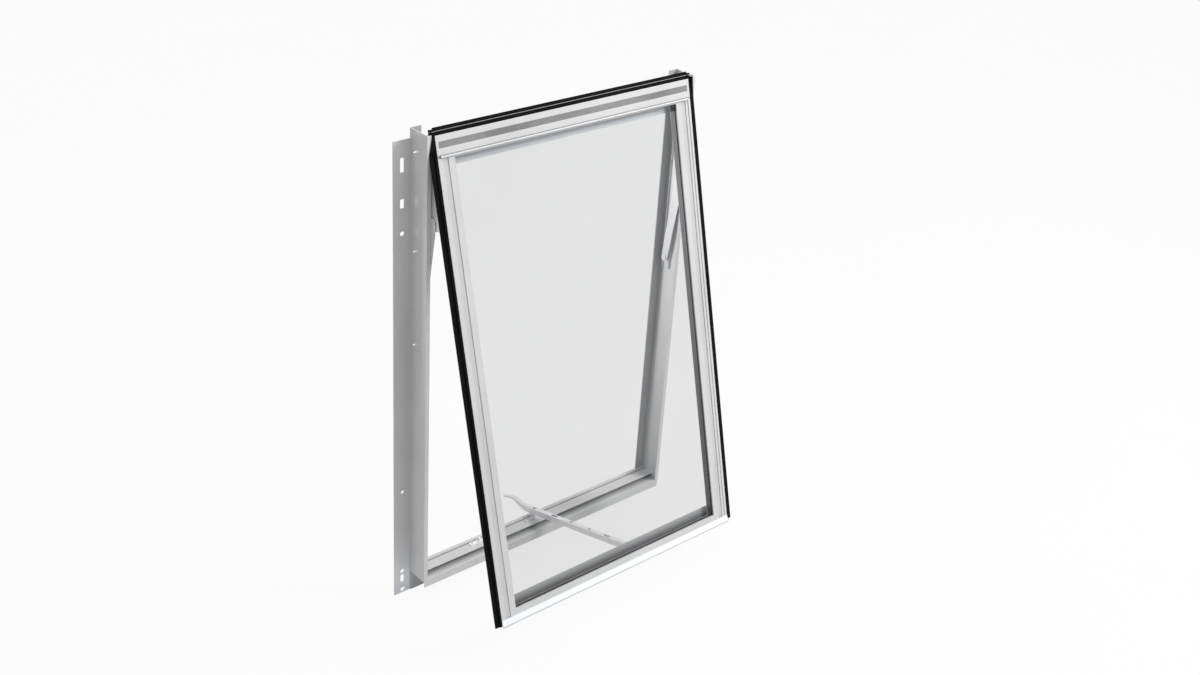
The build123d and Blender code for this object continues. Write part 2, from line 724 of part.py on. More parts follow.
def stay_bracket():
    """Bracket on the inner flange of the bottom rail, with the shelf for the swivel."""
    top = at_drop(stay_drop - bracket_rise)
    shelf = at_drop(stay_drop + shelf_top())
    foot = shelf - shelf_thick
    back = sash_depth + bracket_thick
    half = bracket_width / 2
    plate_x = (stay_place - half, stay_place + half)
    plate = slab(plate_x, (at_depth(sash_depth), at_depth(back)), (foot, top))
    plate = fillet(plate.edges().filter_by(Axis.Y).sort_by(Axis.Z)[-2:], bracket_rise / 2)
    ledge_x = (stay_place - base_radius, stay_place + base_radius)
    plate += slab(ledge_x, (at_depth(sash_depth), at_depth(stay_back)), (foot, shelf))
    plate += rod_z((foot, shelf), stay_place, at_depth(stay_back), base_radius)
    plate -= rod_z((foot - overrun, shelf + overrun), stay_place, at_depth(stay_back), pin_radius)
    screw_y = (at_depth(sash_depth - overrun), at_depth(back + overrun))
    for x in bracket_screw_places():
        plate -= rod_y(screw_y, x, bracket_screw_z(), screw_radius)
    return plate


def bracket_screws():
    """Screws of the sash bracket."""
    screws = []
    back = sash_depth + bracket_thick
    for x in bracket_screw_places():
        shank_y = (at_depth(sash_depth - sash_wall), at_depth(back))
        head_y = (at_depth(back), at_depth(back + screw_head_high))
        shank = rod_y(shank_y, x, bracket_screw_z(), screw_radius)
        head = rod_y(head_y, x, bracket_screw_z(), screw_head)
        screws.append(shank + head)
    return screws


def swivel_pin():
    """Upright pin in the bracket shelf, headed below."""
    shelf = at_drop(stay_drop + shelf_top())
    top = shelf + base_play + base_thick
    under = shelf - shelf_thick
    pin = rod_z((under, top), stay_place, at_depth(stay_back), pin_radius)
    pin += rod_z((under - pin_head_high, under), stay_place, at_depth(stay_back), pin_head)
    return pin


def swivel():
    """Fork that turns on the shelf, drawn about the stay pivot with the bar along Y."""
    base_top = -stay_high / 2 - base_play
    fork = rod_z((base_top - base_thick, base_top), 0, 0, base_radius)
    ear_in = stay_width / 2 + ear_play
    for side in (1, -1):
        ear_x = (side * ear_in, side * (ear_in + ear_thick))
        ear = slab(ear_x, (-ear_half, ear_half), (base_top - base_thick, 0))
        fork += ear + rod_x(ear_x, 0, 0, ear_half)
    ear_out = ear_in + ear_thick
    fork -= rod_x((-ear_out - overrun, ear_out + overrun), 0, 0, lift_radius)
    fork -= rod_z((base_top - base_thick - overrun, base_top + seal_gap), 0, 0, pin_radius + running_fit)
    return fork


def lift_pin():
    """Cross pin of the stay, about the stay pivot."""
    half = stay_width / 2 + ear_play + ear_thick
    return rod_x((-half, half), 0, 0, lift_radius)


def stay_arm(reach):
    """Folded bar with holes and a curved handle, along Y from the pivot to the peg."""
    half = stay_high / 2
    straight = reach + handle_start
    length = reach + handle_end
    crest = (reach + handle_crest, half + crest_rise)
    tip = (length, half + tip_rise)
    under_crest = (reach + handle_crest, half + crest_rise - crest_thick)
    under_tip = (length, half + tip_rise - tip_thick)
    run_out = (handle_end - handle_crest, tip_rise - crest_rise)
    outline = [
        ThreePointArc((0, half), (-half, 0), (0, -half)),
        Line((0, -half), (straight, -half)),
        Spline((straight, -half), under_crest, under_tip, tangents=[(1, 0), run_out]),
        Line(under_tip, tip),
        Spline((straight, half), crest, tip, tangents=[(1, 0), run_out]),
        Line((straight, half), (0, half)),
    ]
    side = Plane.YZ.offset(-stay_width / 2) * make_face(outline)
    bar = extrude(side, amount=stay_width, dir=(1, 0, 0))
    plan = [
        (-stay_width / 2, -stay_high), (-stay_width / 2, reach + taper_start), (-handle_width / 2, length),
        (handle_width / 2, length), (stay_width / 2, reach + taper_start), (stay_width / 2, -stay_high),
    ]
    block = run_z(plan, -stay_high - overrun, stay_high + crest_rise + overrun)
    block = fillet(block.edges().filter_by(Axis.Z).sort_by(Axis.Y)[-2:], handle_round)
    bar = bar & block
    fold_half = stay_width / 2 - stay_wall
    bar -= slab((-fold_half, fold_half), (fold_start, reach + fold_end), (-stay_high, half - stay_wall))
    bar -= rod_x((-stay_width, stay_width), 0, 0, lift_radius + running_fit)
    for share in hole_shares:
        bar -= rod_z((-stay_high, stay_high), 0, share * reach, stay_hole / 2)
    for share in slot_shares:
        y = share * reach
        long = (stay_slot - stay_hole) / 2
        bar -= slab((-stay_hole / 2, stay_hole / 2), (y - long, y + long), (-stay_high, stay_high))
        for end in (y - long, y + long):
            bar -= rod_z((-stay_high, stay_high), 0, end, stay_hole / 2)
    return bar


def stay_places():
    """Places of swivel and bar at rest, the bar lying over the right-hand peg, and the reach to it."""
    tilt = radians(open_angle)
    dy = at_depth(stay_back) + track_back
    dz = at_drop(stay_drop) - shoe_closed
    rest_y = -track_back + dy * cos(tilt) + dz * sin(tilt)
    rest_z = shoe_rest - dy * sin(tilt) + dz * cos(tilt)
    to_x = peg_places[-1] - stay_place
    to_y = -peg_back - rest_y
    to_z = peg_top + peg_gap + stay_high / 2 - rest_z
    in_y = to_y * cos(tilt) - to_z * sin(tilt)
    in_z = to_y * sin(tilt) + to_z * cos(tilt)
    turn = degrees(atan2(-to_x, in_y))
    lift = degrees(atan2(in_z, hypot(to_x, in_y)))
    fork = opened * Pos(stay_place, at_depth(stay_back), at_drop(stay_drop)) * Rot(0, 0, turn)
    reach = hypot(to_x, in_y, in_z)
    return fork, fork * Rot(lift, 0, 0), reach


def peg_bracket(place):
    """Plate with an upright peg on the sill ledge."""
    half = peg_plate_length / 2
    y_span = (-peg_back - peg_plate_width / 2, -peg_back + peg_plate_width / 2)
    plate = slab((place - half, place + half), y_span, (ledge_z, ledge_z + peg_plate_thick))
    plate = fillet(plate.edges().filter_by(Axis.Z), peg_plate_width / 4)
    peg = rod_z((ledge_z + peg_plate_thick, peg_top), place, -peg_back, peg_radius)
    peg = fillet(peg.edges().sort_by(Axis.Z)[-1], peg_round)
    plate += peg
    for x in (place - peg_screw_gap / 2, place + peg_screw_gap / 2):
        plate -= rod_z((ledge_z - overrun, ledge_z + overrun), x, -peg_back, screw_radius)
    return plate


def peg_screws():
    """Screws of both peg plates."""
    screws = []
    top = ledge_z + peg_plate_thick
    for place in peg_places:
        for x in (place - peg_screw_gap / 2, place + peg_screw_gap / 2):
            shank = rod_z((ledge_z - frame_wall, top), x, -peg_back, screw_radius)
            head = rod_z((top, top + screw_head_high), x, -peg_back, screw_head)
            screws.append(shank + head)
    return screws


# Writing the nodes

os.makedirs("parts", exist_ok=True)

jamb = right_jamb()
save("right_jamb", jamb)
save("left_jamb", left_of(jamb))
save("head_rail", head_rail())
save("sill", sill())
save("corner_rivets", corner_rivets())
track = right_track()
save("right_track", track)
save("left_track", left_of(track))
save("track_screws", track_screws())
post = right_post()
save("right_pivot_post", post)
save("left_pivot_post", left_of(post))
save("left_peg_bracket", peg_bracket(peg_places[0]))
save("middle_peg_bracket", peg_bracket(peg_places[1]))
save("peg_screws", peg_screws())

arm = swung * right_arm()
save("right_side_arm", arm)
save("left_side_arm", left_of(arm))
shoe = right_shoe()
save("right_shoe", shoe)
save("left_shoe", left_of(shoe))
shoe_pin = right_shoe_pin()
save("right_shoe_pin", shoe_pin)
save("left_shoe_pin", left_of(shoe_pin))

stile = opened * right_stile()
save("right_stile", stile)
save("left_stile", left_of(stile))
save("top_rail", opened * top_rail())
save("cover_strip", opened * cover_strip())
save("bottom_rail", opened * bottom_rail())
save("drip_profile", opened * drip_profile())
save("glass_pane", opened * glass_pane())
outer_seals = glazing_seals(slot_front, slot_front + seal_thick, 0)
save("outer_glazing_seals", [opened * seal for seal in outer_seals])
inner_seals = glazing_seals(slot_back - seal_thick, slot_back, inner_sight)
save("inner_glazing_seals", [opened * seal for seal in inner_seals])
save("setting_blocks", [opened * block for block in setting_blocks()])
gasket = opened * right_gasket()
save("right_gasket", gasket)
save("left_gasket", left_of(gasket))
save("head_gasket", opened * head_gasket())
plate = opened * right_plate()
save("right_sash_plate", plate)
save("left_sash_plate", left_of(plate))
save("plate_screws", [opened * screw for screw in plate_screws()])
arm_pin = opened * right_arm_pin()
save("right_arm_pin", arm_pin)
save("left_arm_pin", left_of(arm_pin))
save("stay_bracket", opened * stay_bracket())
save("bracket_screws", [opened * screw for screw in bracket_screws()])
save("swivel_pin", opened * swivel_pin())
fork_place, bar_place, peg_reach = stay_places()
save("stay_swivel", fork_place * swivel())
save("lift_pin", fork_place * lift_pin())
save("stay_arm", bar_place * stay_arm(peg_reach))
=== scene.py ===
import logging
import math
from dataclasses import dataclass, field
from enum import Enum
from typing import Callable, Dict, List, Optional, Sequence, Tuple, Union

import bpy
from mathutils import Matrix, Vector


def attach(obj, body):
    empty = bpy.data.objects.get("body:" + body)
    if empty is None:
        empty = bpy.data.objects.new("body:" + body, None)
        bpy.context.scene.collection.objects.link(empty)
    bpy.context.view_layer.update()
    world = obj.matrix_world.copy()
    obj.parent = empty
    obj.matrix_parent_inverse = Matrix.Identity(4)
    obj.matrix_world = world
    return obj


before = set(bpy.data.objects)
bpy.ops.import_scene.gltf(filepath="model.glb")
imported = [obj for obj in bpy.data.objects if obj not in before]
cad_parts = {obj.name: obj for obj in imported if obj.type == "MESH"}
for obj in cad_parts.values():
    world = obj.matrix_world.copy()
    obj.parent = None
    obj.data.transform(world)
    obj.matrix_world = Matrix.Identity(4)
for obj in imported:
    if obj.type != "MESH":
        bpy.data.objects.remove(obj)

LOG = logging.getLogger("greenhouse_window")
Place = Tuple[float, float, float]
Colour = Tuple[float, float, float]
Span = Tuple[float, float]
Number = Union[int, float]
Picker = Callable[[Vector], bool]


class Slot(Enum):
    """Material slots of the record."""

    FRAME = "frame_aluminium"
    SASH = "sash_aluminium"
    STRIP = "strip_grey"
    GLASS = "glass"
    GASKET = "gasket_black"
    SEAL = "seal_grey"
    STAY = "stay_steel"
    FIXING = "fixing_steel"
    SHOE = "shoe_plastic"
    LEVER = "stay_aluminium"


class Grain(Enum):
    """Axis along which the surface marks of a finish run."""

    ALONG_Y = (1.0, 0.04, 1.0)
    ALONG_Z = (1.0, 1.0, 0.04)
    NONE = (1.0, 1.0, 1.0)


class Wire:
    """A shader socket that takes Python arithmetic."""

    def __init__(self, graph: "Graph", socket: Optional[bpy.types.NodeSocket]) -> None:
        """Wrap an output socket of a graph."""
        self.graph = graph
        self.socket = socket

    def _math(self, operation: str, first: "Feed", second: "Feed") -> "Wire":
        """Join two values by a math node."""
        return self.graph.node("ShaderNodeMath", {0: first, 1: second}, operation=operation)

    def __add__(self, other: "Feed") -> "Wire":
        """Sum of this wire and a value."""
        return self._math("ADD", self, other)

    def __sub__(self, other: "Feed") -> "Wire":
        """This wire less a value."""
        return self._math("SUBTRACT", self, other)

    def __rsub__(self, other: "Feed") -> "Wire":
        """A value less this wire."""
        return self._math("SUBTRACT", other, self)

    def __mul__(self, other: "Feed") -> "Wire":
        """Product of this wire and a value."""
        return self._math("MULTIPLY", self, other)

    __radd__ = __add__
    __rmul__ = __mul__

    def size(self) -> "Wire":
        """Absolute value of this wire."""
        return self._math("ABSOLUTE", self, 0.0)

    def most(self, other: "Feed") -> "Wire":
        """Larger one of this wire and a value."""
        return self._math("MAXIMUM", self, other)

    def ramp(self, low: Number, high: Number, start: Number = 0.0, end: Number = 1.0) -> "Wire":
        """Map the range from low to high smoothly to the one from start to end."""
        feeds: Feeds = {0: self, 1: low, 2: high, 3: start, 4: end}
        return self.graph.node("ShaderNodeMapRange", feeds, interpolation_type="SMOOTHSTEP")


Feed = Union[Wire, Number, Sequence[float]]
Feeds = Dict[Union[int, str], Feed]


class Graph:
    """Node tree of one material or world, built by one method."""

    def __init__(self, tree: bpy.types.NodeTree) -> None:
        """Take over a tree and empty it."""
        self.tree = tree
        tree.nodes.clear()

    def node(self, kind: str, feeds: Optional[Feeds] = None, out: Union[int, str] = 0,
             **settings: object) -> Wire:
        """Make a node, set it up and connect its inputs.

        Args:
            kind: Node type.
            feeds: Values or wires by input name or number.
            out: Output to hand back.
            **settings: Properties of the node.

        Returns:
            The chosen output as a wire, an empty one where the node has no output.
        """
        made = self.tree.nodes.new(kind)
        for key, value in settings.items():
            setattr(made, key, value)
        for key, value in (feeds or {}).items():
            if isinstance(value, Wire):
                self.tree.links.new(value.socket, made.inputs[key])
            else:
                made.inputs[key].default_value = value
        return Wire(self, made.outputs[out] if made.outputs else None)

    def place(self, axis: str) -> Wire:
        """Object coordinate along "X", "Y" or "Z", in metres."""
        coordinates = self.node("ShaderNodeTexCoord", out="Object")
        return self.node("ShaderNodeSeparateXYZ", {0: coordinates}, out=axis)

    def noise(self, scale: float, stretch: Place = (1.0, 1.0, 1.0), detail: float = 4.0) -> Wire:
        """Noise in object coordinates.

        Args:
            scale: Noise scale.
            stretch: Factor on each axis before the noise.
            detail: Octaves.

        Returns:
            A value around a half.
        """
        coordinates = self.node("ShaderNodeTexCoord", out="Object")
        mapped = self.node("ShaderNodeMapping", {"Vector": coordinates, "Scale": stretch})
        return self.node("ShaderNodeTexNoise", {"Vector": mapped, "Scale": scale, "Detail": detail})

    def mix(self, factor: Feed, first: Union[Wire, Colour], second: Union[Wire, Colour]) -> Wire:
        """Mix two colours, the factor being the share of the second."""
        start, end = (one if isinstance(one, Wire) else (*one, 1.0) for one in (first, second))
        return self.node("ShaderNodeMix", {0: factor, 6: start, 7: end}, out=2, data_type="RGBA")

    def surface(self, shader: Wire, output: str = "ShaderNodeOutputMaterial") -> None:
        """Show a shader through an output node of the given type."""
        self.node(output, {"Surface": shader})


@dataclass(frozen=True)
class Band:
    """A stretch along one direction with soft ends, in metres."""

    rise: Optional[Span] = None
    fall: Optional[Span] = None

    def over(self, place: Wire) -> Wire:
        """Make the mask of the stretch.

        Args:
            place: Place along the direction.

        Returns:
            One inside the stretch, nought outside.
        """
        if self.fall is None:
            return place.ramp(*self.rise)
        before_end = place.ramp(*self.fall, 1.0, 0.0)
        return before_end if self.rise is None else place.ramp(*self.rise) * before_end


@dataclass(frozen=True)
class SashPlane:
    """Plane of the open sash, measured from its upper outer edge."""

    top_y: float = -0.0528
    top_z: float = 0.4966
    lean: float = math.radians(14.67)

    def places(self, graph: Graph) -> Tuple[Wire, Wire]:
        """Find places in the sash's own plane.

        Args:
            graph: Graph of the material.

        Returns:
            Depth behind the outer face and drop below the sash top, in metres.
        """
        ahead = graph.place("Y") - self.top_y
        rise = graph.place("Z") - self.top_z
        depth = ahead * math.cos(self.lean) - rise * math.sin(self.lean)
        drop = ahead * -math.sin(self.lean) - rise * math.cos(self.lean)
        return depth, drop

    def face_y(self, height: float) -> float:
        """Y of the outer face at a height."""
        return self.top_y + math.tan(self.lean) * (height - self.top_z)


SASH_PLANE = SashPlane()


class PaintedShadeAndLight:
    """Painted shade and painted light on a finish, none by default."""

    def dark(self, graph: Graph) -> Optional[Wire]:
        """Mask of the places in the first painted colour, painted shade (on the gasket a painted highlight),
        if there are any.
        """
        return None

    def pale(self, graph: Graph) -> Optional[Wire]:
        """Mask of the painted light, if there is any."""
        return None


@dataclass(frozen=True)
class GasketPaintedHighlight(PaintedShadeAndLight):
    """Painted highlight on the step along the head gasket."""

    step_drop: Band = Band((-0.0082, -0.0078), (-0.0071, -0.0067))
    step_depth: Band = Band(fall=(0.0060, 0.0065))

    def dark(self, graph: Graph) -> Optional[Wire]:
        """Mask of the painted highlight on the step, paler than the rubber."""
        depth, drop = SASH_PLANE.places(graph)
        return self.step_drop.over(drop) * self.step_depth.over(depth)


@dataclass(frozen=True)
class SashPaintedShadeAndLight(PaintedShadeAndLight):
    """Painted shade in the reveals, the flute, the bead's shadow line and the bead bore of the sash, and
    painted light on its inner flange and drip edge.
    """

    # Painted shade in the stile reveals, weaker on the inner flange.
    reveal_depth: Band = Band((0.0012, 0.0042), (0.0235, 0.0248))
    inner_depth: Band = Band((0.0235, 0.0248), (0.0420, 0.0440))
    inner_share: float = 0.35
    reveal_across: Band = Band((0.2790, 0.2797), (0.2826, 0.2834))
    # Painted shade in the bottom rail's channel, darker towards the bottom.
    channel_depth: Band = Band((0.0060, 0.0100), (0.0238, 0.0248))
    channel_drop: Band = Band((0.9500, 0.9730))
    channel_share: float = 0.75
    face_depth: Band = Band(fall=(0.0040, 0.0045))
    # Painted shade across the flute of the stiles.
    flute_across: Band = Band((0.2930, 0.2955), (0.3050, 0.3075))
    flute_drop: Band = Band((0.043, 0.044))
    flute_share: float = 0.13
    # Painted shadow line along the top of the top rail's bead.
    bead_shadow_drop: Band = Band((0.0368, 0.0374), (0.0384, 0.0389))
    bead_shadow_share: float = 0.75
    # Painted shade inside the open end of the hollow bead.
    bore_depth: float = -0.0012
    bore_drop: float = 0.0404
    bore_inner: float = 0.00145
    bore_outer: float = 0.00158
    # Painted light on the top rail's inner flange.
    flange_depth: Band = Band((0.0190, 0.0215))
    flange_drop: Band = Band(fall=(0.0640, 0.0720))
    flange_across: Band = Band(fall=(0.262, 0.270))
    # Painted highlight on the drip edge.
    drip_depth: Band = Band(fall=(0.0008, 0.0012))
    drip_drop: Band = Band((0.9815, 0.9825), (0.9935, 0.9940))
    drip_share: float = 0.85

    def dark(self, graph: Graph) -> Optional[Wire]:
        """Make the mask of the painted shade.

        Args:
            graph: Graph of the material.

        Returns:
            One in the reveals and the bore, less in the flute and the bead's shadow line, nought on the
            faces.
        """
        depth, drop = SASH_PLANE.places(graph)
        across = graph.place("X").size()
        face = self.face_depth.over(depth)
        reveal = self.reveal_depth.over(depth).most(self.inner_depth.over(depth) * self.inner_share)
        reveal = reveal * self.reveal_across.over(across)
        channel = self.channel_depth.over(depth) * self.channel_drop.over(drop)
        flute = self.flute_across.over(across) * self.flute_drop.over(drop) * face
        bead_shadow = self.bead_shadow_drop.over(drop) * face
        mask = reveal.most(channel * self.channel_share).most(flute * self.flute_share)
        return mask.most(bead_shadow * self.bead_shadow_share).most(self.bore(depth, drop))

    def bore(self, depth: Wire, drop: Wire) -> Wire:
        """Make the mask of the painted shade in the hollow bead's open end.

        Args:
            depth: Depth behind the sash's outer face.
            drop: Drop below the sash top.

        Returns:
            One inside the bore, nought outside.
        """
        around, along = depth - self.bore_depth, drop - self.bore_drop
        edge = Band(fall=(self.bore_inner ** 2, self.bore_outer ** 2))
        return edge.over(around * around + along * along)

    def pale(self, graph: Graph) -> Optional[Wire]:
        """Make the mask of the painted light on the top rail's inner flange and the painted highlight on the
        drip edge.

        Args:
            graph: Graph of the material.

        Returns:
            One on the flange, less on the drip edge, nought elsewhere.
        """
        depth, drop = SASH_PLANE.places(graph)
        across = graph.place("X").size()
        flange = self.flange_depth.over(depth) * self.flange_drop.over(drop) * self.flange_across.over(across)
        drip = self.drip_depth.over(depth) * self.drip_drop.over(drop)
        return flange.most(drip * self.drip_share)


@dataclass(frozen=True)
class FramePaintedShadeAndLight(PaintedShadeAndLight):
    """Painted shade in the corners of fin and web, under the sill's ledge and on the inner back flanges, and
    painted light on the jambs' inner webs and feet.
    """

    # Painted shade in the corner of fin and web.
    corner_depth: Band = Band((-0.030, -0.004))
    corner_across: Band = Band((0.330, 0.3355), (0.338, 0.372))
    corner_rise: Band = Band((-0.515, -0.480))
    corner_share: float = 0.22
    # Painted shade under the sill's ledge.
    channel_rise: Band = Band(fall=(-0.4905, -0.4880))
    channel_depth: Band = Band((-0.0540, -0.0370))
    channel_across: Band = Band(fall=(0.330, 0.334))
    channel_share: float = 0.65
    # Painted shade on the inner back flanges.
    inner_depth: Band = Band((-0.012, -0.003))
    inner_across: Band = Band((0.3100, 0.3120), (0.3344, 0.3350))
    inner_share: float = 0.45
    # Painted light on the inner webs and, fainter, on the feet.
    web_across: Band = Band((0.3322, 0.3328), (0.3336, 0.3345))
    web_depth: Band = Band((-0.046, -0.036), (-0.020, -0.006))
    foot_rise: Band = Band(fall=(-0.530, -0.370))
    foot_across: Band = Band((0.3370, 0.3380))
    foot_share: float = 0.70

    def dark(self, graph: Graph) -> Optional[Wire]:
        """Make the mask of the painted shade in the sill channel, the corners of fin and web and on the inner
        back flanges.

        Args:
            graph: Graph of the material.

        Returns:
            The share of the painted shade colour, nought on the open faces.
        """
        across, depth, rise = graph.place("X").size(), graph.place("Y"), graph.place("Z")
        corner = self.corner_depth.over(depth) * self.corner_across.over(across)
        corner = corner * self.corner_rise.over(rise)
        channel = self.channel_depth.over(depth) * self.channel_across.over(across)
        channel = channel * self.channel_rise.over(rise)
        inner = self.inner_depth.over(depth) * self.inner_across.over(across)
        mask = (corner * self.corner_share).most(channel * self.channel_share)
        return mask.most(inner * self.inner_share)

    def pale(self, graph: Graph) -> Optional[Wire]:
        """Make the mask of the painted light on the jambs' inner webs and feet.

        Args:
            graph: Graph of the material.

        Returns:
            One on the inner webs, less on the feet, nought elsewhere.
        """
        across = graph.place("X").size()
        web = self.web_across.over(across) * self.web_depth.over(graph.place("Y"))
        foot = self.foot_rise.over(graph.place("Z")) * self.foot_across.over(across)
        return web.most(foot * self.foot_share)


@dataclass(frozen=True)
class Finish:
    """One procedural surface finish."""

    name: str
    light: Colour
    dark: Colour
    roughness: float
    rough_swing: float = 0.04
    metallic: float = 0.0
    grain: Grain = Grain.NONE
    grain_scale: float = 400.0
    grain_depth: float = 0.06
    grain_reach: float = 0.001
    grain_span: Span = (0.3, 0.7)
    blotch_scale: float = 9.0
    blotch_detail: float = 3.0
    blotch_span: Span = (0.35, 0.65)
    blotch_share: float = 0.6
    alpha: float = 1.0
    alpha_swing: float = 0.006
    specular: float = 0.5
    # Painted shade (on the gasket a painted highlight) and painted light over the finish's own tone, with
    # their colours.
    shade: PaintedShadeAndLight = PaintedShadeAndLight()
    painted_shade_and_highlight_colour: Colour = (0.1, 0.1, 0.1)
    painted_light_colour: Colour = (0.91, 0.95, 0.985)

    def build(self) -> bpy.types.Material:
        """Make the material.

        Returns:
            The new material.
        """
        material = bpy.data.materials.new(self.name)
        material.use_nodes = True
        graph = Graph(material.node_tree)
        grain = graph.noise(self.grain_scale, self.grain.value)
        blotch = graph.noise(self.blotch_scale, detail=self.blotch_detail)
        marks = grain.ramp(*self.grain_span) * (1.0 - self.blotch_share)
        wear = blotch.ramp(*self.blotch_span) * self.blotch_share + marks
        colour = graph.mix(wear, self.light, self.dark)
        # Painted shade and painted light mixed over the finish's own tone.
        painted_tints = ((self.shade.dark(graph), self.painted_shade_and_highlight_colour), (self.shade.pale(graph), self.painted_light_colour))
        for mask, painted_tint in painted_tints:
            if mask is not None:
                colour = graph.mix(mask, colour, painted_tint)
        swing = (self.roughness - self.rough_swing, self.roughness + self.rough_swing)
        bump = {"Strength": self.grain_depth, "Distance": self.grain_reach, "Height": grain}
        feeds: Feeds = {
            "Base Color": colour,
            "Roughness": grain.ramp(*self.grain_span, *swing),
            "Metallic": self.metallic,
            "Specular IOR Level": self.specular,
            "Normal": graph.node("ShaderNodeBump", bump),
        }
        if self.alpha < 1.0:
            clear = (self.alpha - self.alpha_swing, self.alpha + self.alpha_swing)
            feeds["Alpha"] = blotch.ramp(*self.grain_span, *clear)
        graph.surface(graph.node("ShaderNodeBsdfPrincipled", feeds))
        return material


FINISHES: Dict[Slot, Finish] = {
    Slot.FRAME: Finish(
        "frame aluminium", light=(0.73, 0.73, 0.735), dark=(0.67, 0.67, 0.675), roughness=0.42, metallic=0.10,
        grain=Grain.ALONG_Z, grain_scale=500.0, grain_depth=0.05, blotch_scale=7.0,
        shade=FramePaintedShadeAndLight(), painted_shade_and_highlight_colour=(0.28, 0.28, 0.285)),
    Slot.SASH: Finish(
        "sash aluminium", light=(0.65, 0.65, 0.655), dark=(0.59, 0.59, 0.595), roughness=0.42, metallic=0.05,
        grain=Grain.ALONG_Z, grain_scale=500.0, grain_depth=0.05,
        shade=SashPaintedShadeAndLight(), painted_shade_and_highlight_colour=(0.16, 0.16, 0.165)),
    Slot.STRIP: Finish(
        "grey strip", light=(0.27, 0.27, 0.275), dark=(0.15, 0.15, 0.155), roughness=0.60,
        grain_scale=420.0, grain_depth=0.25),
    Slot.GLASS: Finish(
        "clear glass", light=(0.030, 0.045, 0.050), dark=(0.025, 0.038, 0.043), roughness=0.06,
        grain_scale=60.0, grain_depth=0.0, blotch_scale=4.0, alpha=0.12),
    Slot.GASKET: Finish(
        "black gasket", light=(0.006, 0.006, 0.006), dark=(0.003, 0.003, 0.003), roughness=0.70,
        grain=Grain.ALONG_Z, grain_scale=900.0, grain_depth=0.15, specular=0.06,
        # Painted highlight on the head gasket's step.
        shade=GasketPaintedHighlight(), painted_shade_and_highlight_colour=(0.34, 0.34, 0.34)),
    Slot.SEAL: Finish(
        "grey seal", light=(0.16, 0.16, 0.165), dark=(0.11, 0.11, 0.115), roughness=0.60,
        grain_scale=900.0, grain_depth=0.1),
    Slot.STAY: Finish(
        "stay steel", light=(0.76, 0.76, 0.77), dark=(0.69, 0.69, 0.70), roughness=0.36, metallic=0.30,
        grain=Grain.ALONG_Z, grain_scale=600.0),
    Slot.FIXING: Finish(
        "plated steel", light=(0.90, 0.90, 0.91), dark=(0.76, 0.76, 0.77), roughness=0.26, metallic=0.85,
        grain_scale=900.0, grain_depth=0.05),
    Slot.SHOE: Finish(
        "shoe plastic", light=(0.035, 0.035, 0.036), dark=(0.02, 0.02, 0.02), roughness=0.5,
        grain_scale=1200.0, grain_depth=0.08),
    Slot.LEVER: Finish(
        "stay aluminium", light=(0.90, 0.90, 0.91), dark=(0.82, 0.82, 0.83), roughness=0.36, metallic=0.45,
        grain=Grain.ALONG_Y, grain_scale=600.0),
}


@dataclass
class SubAssembly:
    """CAD nodes that share one job, with the slot of each node."""

    title: str
    slots: Dict[Slot, List[str]] = field(default_factory=dict)

    def dress(self, nodes: Dict[str, bpy.types.Object], materials: Dict[Slot, bpy.types.Material]) -> None:
        """Give every node its finish.

        Args:
            nodes: CAD objects by node name.
            materials: Materials by slot.
        """
        for slot, names in self.slots.items():
            for name in names:
                shown = nodes[name]
                shown.data.materials.clear()
                shown.data.materials.append(materials[slot])
                LOG.info("%s: %s", self.title, name)


ASSEMBLIES: List[SubAssembly] = [
    SubAssembly("fixed frame", {
        Slot.FRAME: ["left_jamb", "right_jamb", "head_rail", "sill"],
        Slot.FIXING: ["corner_rivets", "track_screws", "left_pivot_post", "right_pivot_post", "peg_screws"],
        Slot.STAY: ["left_track", "right_track"],
        Slot.LEVER: ["left_peg_bracket", "middle_peg_bracket"],
    }),
    SubAssembly("sash", {
        Slot.SASH: ["left_stile", "right_stile", "top_rail", "bottom_rail", "drip_profile"],
        Slot.STRIP: ["cover_strip"],
        Slot.GLASS: ["glass_pane"],
        Slot.SEAL: ["outer_glazing_seals", "inner_glazing_seals", "setting_blocks"],
        Slot.GASKET: ["left_gasket", "right_gasket", "head_gasket"],
        Slot.STAY: ["left_sash_plate", "right_sash_plate"],
        Slot.FIXING: ["plate_screws", "left_arm_pin", "right_arm_pin", "bracket_screws", "swivel_pin"],
        Slot.LEVER: ["stay_bracket"],
    }),
    SubAssembly("side stays", {
        Slot.STAY: ["left_side_arm", "right_side_arm"],
        Slot.SHOE: ["left_shoe", "right_shoe"],
        Slot.FIXING: ["left_shoe_pin", "right_shoe_pin"],
    }),
    SubAssembly("casement stay", {
        Slot.LEVER: ["stay_swivel", "stay_arm"],
        Slot.FIXING: ["lift_pin"],
    }),
]


